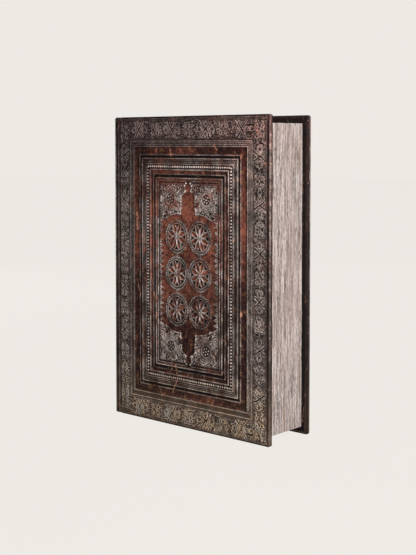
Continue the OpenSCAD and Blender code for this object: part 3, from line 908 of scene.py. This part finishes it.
def leather_skin(name, body, node, centre, u, step, pattern, shift=(0, 0), front=False):
    """Leather over a cover board: its tooled face, its rounded edges and its turn-ins.

    u is the unit direction across the face, and shift takes a place on the face to its place in the pattern.
    The front has old marks, keeps its joint's side low, and its middle is a piece of its own.
    """
    low, high = node_box(node)
    size = high - low
    u, v = np.array(u, float), np.array([0, 0, 1.0])
    out = np.cross(u, v)
    half_u, half_v, thickness = np.abs(u) @ size / 2, size[2] / 2, np.abs(out) @ size
    us, vs = spaced(EDGE - half_u, half_u - EDGE, step), spaced(EDGE - half_v, half_v - EDGE, step)
    across, up = np.meshgrid(us, vs, indexing="ij")
    height, raised, red, dark = pattern(across + shift[0], up + shift[1])
    height = np.clip(height + PLAIN_LEVEL, DEEPEST, HIGHEST)
    if front:
        height = np.where(across + half_u < JOINT_SIDE, np.minimum(height, -0.02), height)
    height = height * ramp(0, 1.4, np.minimum(half_u - EDGE - np.abs(across), half_v - EDGE - np.abs(up)))
    scuff = scuffs(across + shift[0], up + shift[1]) if front else np.zeros_like(across)

    rim, turn, _ = grid_outline(us, vs)
    loops = []
    for o, d in edge_profile(thickness):
        # Round each edge: painted shade on the cover's side, and a light strip that is partly worn edge and
        # partly painted highlight, strongest at the top and on the upright edges.
        strip = ramp(0.1, 0.4, d) * ramp(0.65 * thickness, 0.45 * thickness, d)
        edge_wear_and_highlight = (0.1 + strip * (0.25 + 0.6 * ramp(-110, 70, rim[:, 1]))) * (0.25 + 0.75 * np.abs(turn[:, 0]))
        loops.append((rim + o * turn, -d, edge_wear_and_highlight, 0.9 * (1 - strip) * ramp(0.1, 0.3, o / EDGE)))
    shrink = np.array([half_u - TURN_IN, half_v - TURN_IN]) / np.array([half_u - EDGE, half_v - EDGE])
    # The turn-ins are painted black as painted shade.
    for share in (0.08, 0.35, 0.7, 1.0):
        loops.append((rim * (1 - share + share * shrink), -thickness, TURNED_IN, 1.0))
    loops.append((loops[-1][0], -thickness + LEATHER_T, TURNED_IN, 1.0))

    rows = [np.stack([across, up, height, raised, dark, red, scuff], 2).reshape(-1, 7)]
    for place, level, lift, shade in loops:
        worn = 0.4 + noise(*place.T, 5, 9) * noise(place[:, 0] + level, place[:, 1], 1.5, 10)
        none = np.zeros(len(rim))
        rows.append(np.column_stack([place, none + level, lift * worn, none + shade, none, none]))
    rows = np.concatenate(rows)
    world = np.array(centre, float) + rows[:, :1] * u + rows[:, 1:2] * v + rows[:, 2:3] * out
    values = dict(zip(("raised", "dark", "red", "scuff"), rows[:, 3:].T))

    def in_middle(i, j):
        p, q = (across[i, j] + across[i + 1, j + 1]) / 2, (up[i, j] + up[i + 1, j + 1]) / 2
        near = np.abs(p + shift[0]) < BEAD_HALF[0] + SPLIT
        return near & (np.abs(q + shift[1]) < BEAD_HALF[1] + SPLIT)

    def skin(name, faces):
        return build(name, world, faces, body, "tooled_leather", values=values, recalc=False)

    edges = [face[::-1] for face in loop_faces(len(loops), len(rim), start=across.size)]
    outside = (lambda i, j: ~in_middle(i, j)) if front else None
    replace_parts(skin(name, grid_faces(*across.shape, outside) + edges), node)
    if front:
        skin(name + "_panel", grid_faces(*across.shape, in_middle))


leather_skin("front_cover_skin", "front_cover", "front_cover_leather", (FRONT_X, FRONT_LO[1], MID_Z),
             (1, 0, 0), 0.52, tooling, (FRONT_X - PATTERN_X, MID_Z - PATTERN_Z), front=True)
leather_skin("back_cover_skin", "case", "back_cover_leather", (BACK_X, BACK_HI[1], MID_Z),
             (-1, 0, 0), 0.72, tooling, (PATTERN_X - BACK_X, MID_Z - PATTERN_Z))
leather_skin("spine_skin", "case", "spine_leather", (SPINE_LO[0], 0, MID_Z), (0, -1, 0), 0.6, spine_tooling)


def hinge_skin():
    """The leather across the joint: a shallow groove between the spine's edge and the cover's."""
    left, right = SPINE_HI[0] - 1.3, FRONT_LO[0] + 1.9
    xs = np.linspace(left, right, 15)
    zs = spaced(0.35, CASE_H - 0.35, 1.5)
    x, z = np.meshgrid(xs, zs, indexing="ij")
    sag = np.sin(math.pi * ((x - left) / (right - left)))
    y = FRONT_LO[1] - 0.03 + 0.62 * sag ** 1.5 + 0.1 * (noise(x * 3, z, 3, 21) - 0.5) * sag
    count = x.size
    points = np.concatenate([np.stack([x, level, z], 2).reshape(-1, 3) for level in (y, y + 0.3)])
    faces = grid_faces(*x.shape)
    faces += [[count + k for k in reversed(face)] for face in faces]
    i, j = grid_outline(xs, zs)[2]
    rim = i * len(zs) + j
    rim = rim[rim != np.roll(rim, -1)].tolist()
    faces += [[rim[n], count + rim[n], count + rim[n - 1], rim[n - 1]] for n in range(len(rim))]
    # The groove's bottom is painted darker as painted shade.
    values = {
        "raised": np.tile(0.35 + 0.3 * noise(x, z, 4, 22).ravel(), 2),
        "red": np.zeros(2 * count),
        "dark": np.tile(0.5 * sag.ravel(), 2),
    }
    piece = build("hinge_skin", points, faces, None, "tooled_leather", values=values)
    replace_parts(piece, "hinge_leather")
    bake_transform(piece)


hinge_skin()


# ---- Page edges ----

def corner_path(corners, radius, step):
    """Points and outward directions along straight lines with rounded corners; outward is on the left."""
    places, outward = [], []
    corners = np.array(corners, float)
    ways = np.diff(corners, axis=0)
    ways /= np.linalg.norm(ways, axis=1, keepdims=True)
    start = corners[0]
    for n, ahead in enumerate(ways):
        left = np.array([-ahead[1], ahead[0]])
        last = n == len(ways) - 1
        end = corners[n + 1] - ahead * (0 if last else radius)
        for share in np.linspace(0, 1, int(np.linalg.norm(end - start) / step) + 1):
            places.append(start + (end - start) * share)
            outward.append(left)
        if not last:
            for turn in np.linspace(0, math.pi / 2, 5)[1:-1]:
                outward.append(left * math.cos(turn) + ahead * math.sin(turn))
                places.append(end - left * radius + outward[-1] * radius)
            start = corners[n + 1] + ways[n + 1] * radius
    return np.array(places), np.array(outward)


def page_edges():
    """The leaves' edges round head, fore edge and tail: gatherings, and leaves that wander a little."""
    lo, hi = WRAP_LO, WRAP_HI
    path, outward = corner_path([(lo[0], hi[2]), (hi[0], hi[2]), (hi[0], lo[2]), (lo[0], lo[2])], 0.6, 2.2)
    along = np.r_[0, np.cumsum(np.linalg.norm(np.diff(path, axis=0), axis=1))]
    s, y = np.meshgrid(along, spaced(lo[1], hi[1], 0.27), indexing="ij")
    wander = y + 0.9 * (noise(s, y * 0.3, 40, 31) - 0.5) + 0.12 * (noise(s, y, 9, 32) - 0.5)
    leaf = noise(wander, s * 0.03, 0.62, 33)
    thick = noise(wander, s * 0.05, 1.1, 34)
    gathering = dome(folded(wander + 0.8 * noise(wander, s * 0, 9, 35), 4.3), 0.45)
    nick = ramp(0.78, 0.9, noise(s, wander * 6, 5, 36))
    depth = 0.2 * leaf + 0.14 * thick + 0.06 * gathering + 0.12 * nick
    depth = 0.02 + depth * (0.3 + 0.7 * ramp(0, 0.8, np.minimum(y - lo[1], hi[1] - y)))
    places = path[:, None, :] - outward[:, None, :] * depth[..., None]
    outer = np.stack([places[..., 0], y, places[..., 1]], 2)
    inside = path - outward * 0.5
    lips = [np.column_stack([inside[:, 0], np.full(len(path), level), inside[:, 1]])
            for level in (hi[1], lo[1])]
    tone = np.clip(1.2 - 0.75 * leaf - 0.45 * thick - 0.15 * gathering - 0.35 * nick, 0, 1)
    tone = np.concatenate([tone, np.full((len(path), 2), 0.4)], 1)
    points, faces = loft(np.concatenate([outer, np.stack(lips, 1)], 1))
    piece = build("page_leaves", points, faces, "case", "page_edges", values={"leaf": tone.ravel()})
    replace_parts(piece, "page_edge_wrap")


page_edges()


# ---- Velvet inside ----

def tray_velvet():
    """Velvet down the tray's walls and over their rims, pulled in a little between its glued edges."""
    wall = (LINING_HI[0] - LINING_LO[0] - (CRADLE_HI[0] - CRADLE_LO[0])) / 2
    half, middle = (CRADLE_HI - CRADLE_LO) / 2, (CRADLE_HI + CRADLE_LO) / 2
    foot_y, rim_y = CRADLE_LO[1], LINING_LO[1]
    rim, turn, _ = grid_outline(spaced(-half[0], half[0], 2.5), spaced(-half[2], half[2], 2.5))
    profile = [(0.0, CRADLE_HI[1])] + [(0.0, y) for y in np.linspace(foot_y, rim_y + 1.6, 9)]
    over = [(0.12, 0.7), (0.4, 0.25), (0.9, 0.05), (2.4, 0.0), (wall - 2.4, 0.0), (wall - 0.35, 0.05),
            (wall - 0.05, 0.3), (wall / 2, 0.3), (0.8, 0.3)]
    profile += [(out, rim_y + below) for out, below in over] + [(0.8, LINING_HI[1])]
    loops = []
    for out, y in profile:
        place = rim + out * turn
        share = np.clip((y - rim_y) / (foot_y - rim_y), 0, 1)
        if out == 0:
            place = place + turn * (0.35 * math.sin(math.pi * share) - 0.35) * 0.6
        place = place + (middle[0], middle[2])
        loops.append(np.column_stack([place[:, 0], np.full(len(place), y), place[:, 1]]))
    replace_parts(build("tray_velvet", *loft(loops), "case", "velvet"), "tray_lining")


def soft_max(a, b, width):
    """The larger of two values, rounded off where they are close."""
    share = np.clip(0.5 + (a - b) / (2 * width), 0, 1)
    return b + (a - b) * share + width * share * (1 - share)


def finer(low, high, step, places, fine, reach):
    """Values from low to high, step apart, and closer near some places."""
    coarse = spaced(low, high, step)
    far = np.all([np.abs(coarse - p) > reach for p in places], axis=0)
    return np.unique(np.concatenate([coarse[far]] + [spaced(p - reach, p + reach, fine) for p in places]))


def padded_cradle():
    """The velvet pad the cryptex lies in: a trough, two hollows for fingers, and soft shoulders all round."""
    lo, hi = CRADLE_LO + (0.2, 0, 0.2), CRADLE_HI - (0.2, 0.15, 0.2)
    radius, reach, finger_r = 20.55, 44.0, 12.0
    top_z, foot_z = FINIAL_TOP + 72, BASE_Z - 1
    finger_z = (node_box("letter_ring_1")[0][2] + node_box(f"letter_ring_{RINGS}")[1][2]) / 2
    xs = finer(lo[0], hi[0], 1.6, (AXIS_X - radius, AXIS_X + radius), 0.4, 3.2)
    zs = finer(lo[2], hi[2], 1.6, (foot_z, top_z, finger_z - finger_r, finger_z + finger_r), 0.5, 2.5)
    x, z = np.meshgrid(xs, zs, indexing="ij")
    edge = np.minimum.reduce([x - lo[0], hi[0] - x, z - lo[2], hi[2] - z])
    shoulder = 2.2 * (1 - np.sqrt(1 - np.clip(1 - edge / 4.5, 0, 1) ** 2))
    puff = 0.35 * (noise(x, z, 28, 41) - 0.5) + 0.12 * (noise(x, z, 9, 42) - 0.5)
    beyond = np.maximum(np.maximum(foot_z - z, z - top_z), 0)
    width = np.abs(x - AXIS_X)
    trough = AXIS_Y + np.sqrt(np.clip(radius ** 2 - width ** 2, 0, None)) - 9 * np.maximum(width - radius, 0)
    surface = soft_max(lo[1] + 0.25 + shoulder + puff, trough - 7 * beyond, 1.1)
    hollow = np.sqrt(np.clip(finger_r ** 2 - (z - finger_z) ** 2, 0, None)) + lo[1]
    hollow = hollow - 5 * np.maximum(np.abs(z - finger_z) - finger_r, 0)
    hollow = hollow - 3 * np.maximum(width - reach + 3, 0)
    surface = np.minimum(soft_max(surface, hollow, 1.1), hi[1] - 0.6)
    rim, _, at = grid_outline(xs, zs)
    loops = [np.column_stack([rim[:, 0], y, rim[:, 1]])
             for y in (surface[at], *(np.full(len(rim), level) for level in (9, 15, hi[1])))]
    points = np.concatenate([np.stack([x, surface, z], 2).reshape(-1, 3)] + loops)
    faces = grid_faces(*x.shape) + loop_faces(len(loops), len(rim), start=x.size)
    faces.append(list(range(len(points) - len(rim), len(points))))
    piece = build("cradle_pad", points, faces, "case", "velvet")
    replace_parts(piece, "cradle")


tray_velvet()
padded_cradle()


# ---- Cryptex ----

CAP_LETTER_H = 5.6
LETTER_MAX_W = 3.5
LETTER_DEPTH = (-0.05, 0.12)  # from inside the ring's flat to its face
FLAT_R = 18.3
CAP_BAND = 4.5                # from a finial's end to its cap
CAP_PEARLS = (3.3, 15)        # the pearl rows' heights from a cap's outer face


def set_out(shape, radius, angle, z):
    """A small shape on the cryptex's side, at degrees round it (270 is the front): x round, y up, z out."""
    a = math.radians(angle)
    right, out = np.array([-math.sin(a), math.cos(a), 0]), np.array([math.cos(a), math.sin(a), 0])
    middle = np.array([AXIS_X, AXIS_Y, z]) + out * radius
    return middle + shape[:, :1] * right + shape[:, 1:2] * (0, 0, 1) + shape[:, 2:] * out


def letter_shapes():
    """Each letter's points, centred, in millimetres, and its faces."""
    found = {}
    for letter in LETTERS:
        curve = bpy.data.curves.new("letter", "FONT")
        curve.body = letter
        curve.extrude = 0.02
        curve.resolution_u = 4
        text = bpy.data.objects.new("letter", curve)
        scene.collection.objects.link(text)
        bpy.context.view_layer.update()
        mesh = bpy.data.meshes.new_from_object(text.evaluated_get(bpy.context.evaluated_depsgraph_get()))
        found[letter] = (np.array([p.co for p in mesh.vertices]), [list(p.vertices) for p in mesh.polygons])
        bpy.data.objects.remove(text)
        bpy.data.meshes.remove(mesh)
    tall = np.ptp(found["H"][0][:, 1])
    for points, _ in found.values():
        points *= (CAP_LETTER_H / tall, CAP_LETTER_H / tall, 1)
        points[:, 0] -= (points[:, 0].max() + points[:, 0].min()) / 2
        points[:, 0] *= min(1, LETTER_MAX_W / np.ptp(points[:, 0]))
        points[:, 1] -= CAP_LETTER_H / 2
        points[:, 2] = np.where(points[:, 2] > 0, *reversed(LETTER_DEPTH))
    return found


def inlay(ring_name, kind, parts):
    """Black shapes let into a letter ring."""
    build(ring_name + kind, *merged(parts), ring_name, "ring_brass", "letter_black", smooth=False)


def ring_letters(ring_name, first, z):
    """The alphabet round one ring, a letter on each flat."""
    parts = []
    for k in range(len(LETTERS)):
        shape, faces = SHAPES[LETTERS[(first + k) % len(LETTERS)]]
        parts.append((set_out(shape, FLAT_R, 270 + k * 360 / len(LETTERS), z), faces))
    inlay(ring_name, "_letters", parts)


def ring_lines(ring_name, levels):
    """Thin lines round a letter ring, above and below its letters."""
    sides = len(LETTERS)
    corner_r = FLAT_R / math.cos(math.pi / sides)
    profile = np.array([(0, -0.17, -0.1), (0, -0.17, 0.04), (0, 0.17, 0.04), (0, 0.17, -0.1)])
    faces = loop_faces(4, sides)
    faces += [[3 * sides + k, 3 * sides + (k + 1) % sides, (k + 1) % sides, k] for k in range(sides)]
    parts = []
    for z in levels:
        corners = [set_out(profile, corner_r, 270 + 360 * (k + 0.5) / sides, z) for k in range(sides)]
        parts.append((np.stack(corners, 1).reshape(-1, 3), faces))
    inlay(ring_name, "_lines", parts)


def pearls(name, body, slot, radius, levels, count, bead):
    """Rows of small half-sunk pearls round the cryptex."""
    rings, sides = 4, 8
    tilts = math.radians(100) * (1 - np.arange(rings) / rings)
    tilt, spin = np.meshgrid(tilts, TURN * np.arange(sides) / sides, indexing="ij")
    shape = np.stack([np.sin(tilt) * np.cos(spin), np.sin(tilt) * np.sin(spin), np.cos(tilt)], 2)
    shape = bead * np.vstack([shape.reshape(-1, 3), (0, 0, 1)])
    top = (rings - 1) * sides
    faces = loop_faces(rings, sides)
    faces += [[top + j, top + (j + 1) % sides, rings * sides] for j in range(sides)]
    faces.append(list(reversed(range(sides))))
    parts = [(set_out(shape, radius, 360 * (k + 0.5) / count, z), faces)
             for z in levels for k in range(count)]
    build(name + "_pearls", *merged(parts), body, slot)


SHAPES = letter_shapes()
for n in range(RINGS):
    body = f"ring_{n + 1}"
    low, high = (corner[2] for corner in node_box("letter_" + body))
    ring_letters(body, 5 * n, (low + high) / 2)
    ring_lines(body, (low + 2.15, high - 2.15))
    pearls(body, body, "ring_brass", 18.82, (low + 0.6, high - 0.6), 72, 0.42)
for name, body, face, way in (("base_cap", "case", BASE_Z + CAP_BAND, 1),
                              ("pull_cap", "draw_tube", PULL_TOP, -1)):
    pearls(name, body, "aged_brass", 19.85, [face + way * up for up in CAP_PEARLS], 60, 0.55)


def rolled_scroll():
    """A parchment sheet rolled up in the tube, its edge torn a little."""
    low, high = node_box("scroll")
    outer, inner, turns, sheet_t = (high[0] - low[0]) / 2 - 0.15, 6.4, 3.2, 0.28
    steps = 150
    angle = np.linspace(0, turns * TURN, steps)
    spiral = np.linspace(inner, outer, steps)
    levels = spaced(low[2] + 0.6, high[2] - 0.6, 4)
    points = []
    for r in (spiral, spiral - sheet_t):
        for z in levels:
            torn = 0.5 if z in (levels[0], levels[-1]) else 0
            frayed = z + torn * (noise(angle * 4, angle * 0, 1, 51) - 0.5)
            points.append(np.column_stack([AXIS_X + r * np.cos(angle), AXIS_Y + r * np.sin(angle), frayed]))
    rows = len(levels)
    faces = loop_faces(rows, steps, closed=False)
    faces += [face[::-1] for face in loop_faces(rows, steps, closed=False, start=rows * steps)]
    for level in (0, rows - 1):
        a, b = level * steps, (rows + level) * steps
        faces += [[a + k, a + k + 1, b + k + 1, b + k] for k in range(steps - 1)]
    for end in (0, steps - 1):
        faces += [[steps * row + end for row in (r, r + 1, rows + r + 1, rows + r)] for r in range(rows - 1)]
    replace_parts(build("rolled_scroll", np.concatenate(points), faces, "draw_tube", "parchment"), "scroll")


rolled_scroll()


# ---- Materials of the CAD parts that show as they are, each by the name of its slot ----

for node in nodes.values():
    for material_slot in node.material_slots:
        material_slot.material = LOOKS[material_slot.material.name.split(".")[0]]
nodes["back_liner"].material_slots[0].material = LOOKS["liner_paper"]


# ---- Floor ----

FLOOR_HALF = 6000
FLOOR_Z = -0.05               # just under the tail edges, so that no two faces share a plane
floor_steps = spaced(-FLOOR_HALF, FLOOR_HALF, 1500)
floor_x, floor_y = np.meshgrid(floor_steps, floor_steps, indexing="ij")
floor_points = np.stack([floor_x, floor_y, 0 * floor_x + FLOOR_Z], 2).reshape(-1, 3)
build("floor", floor_points, grid_faces(*floor_x.shape), None, None, "floor")
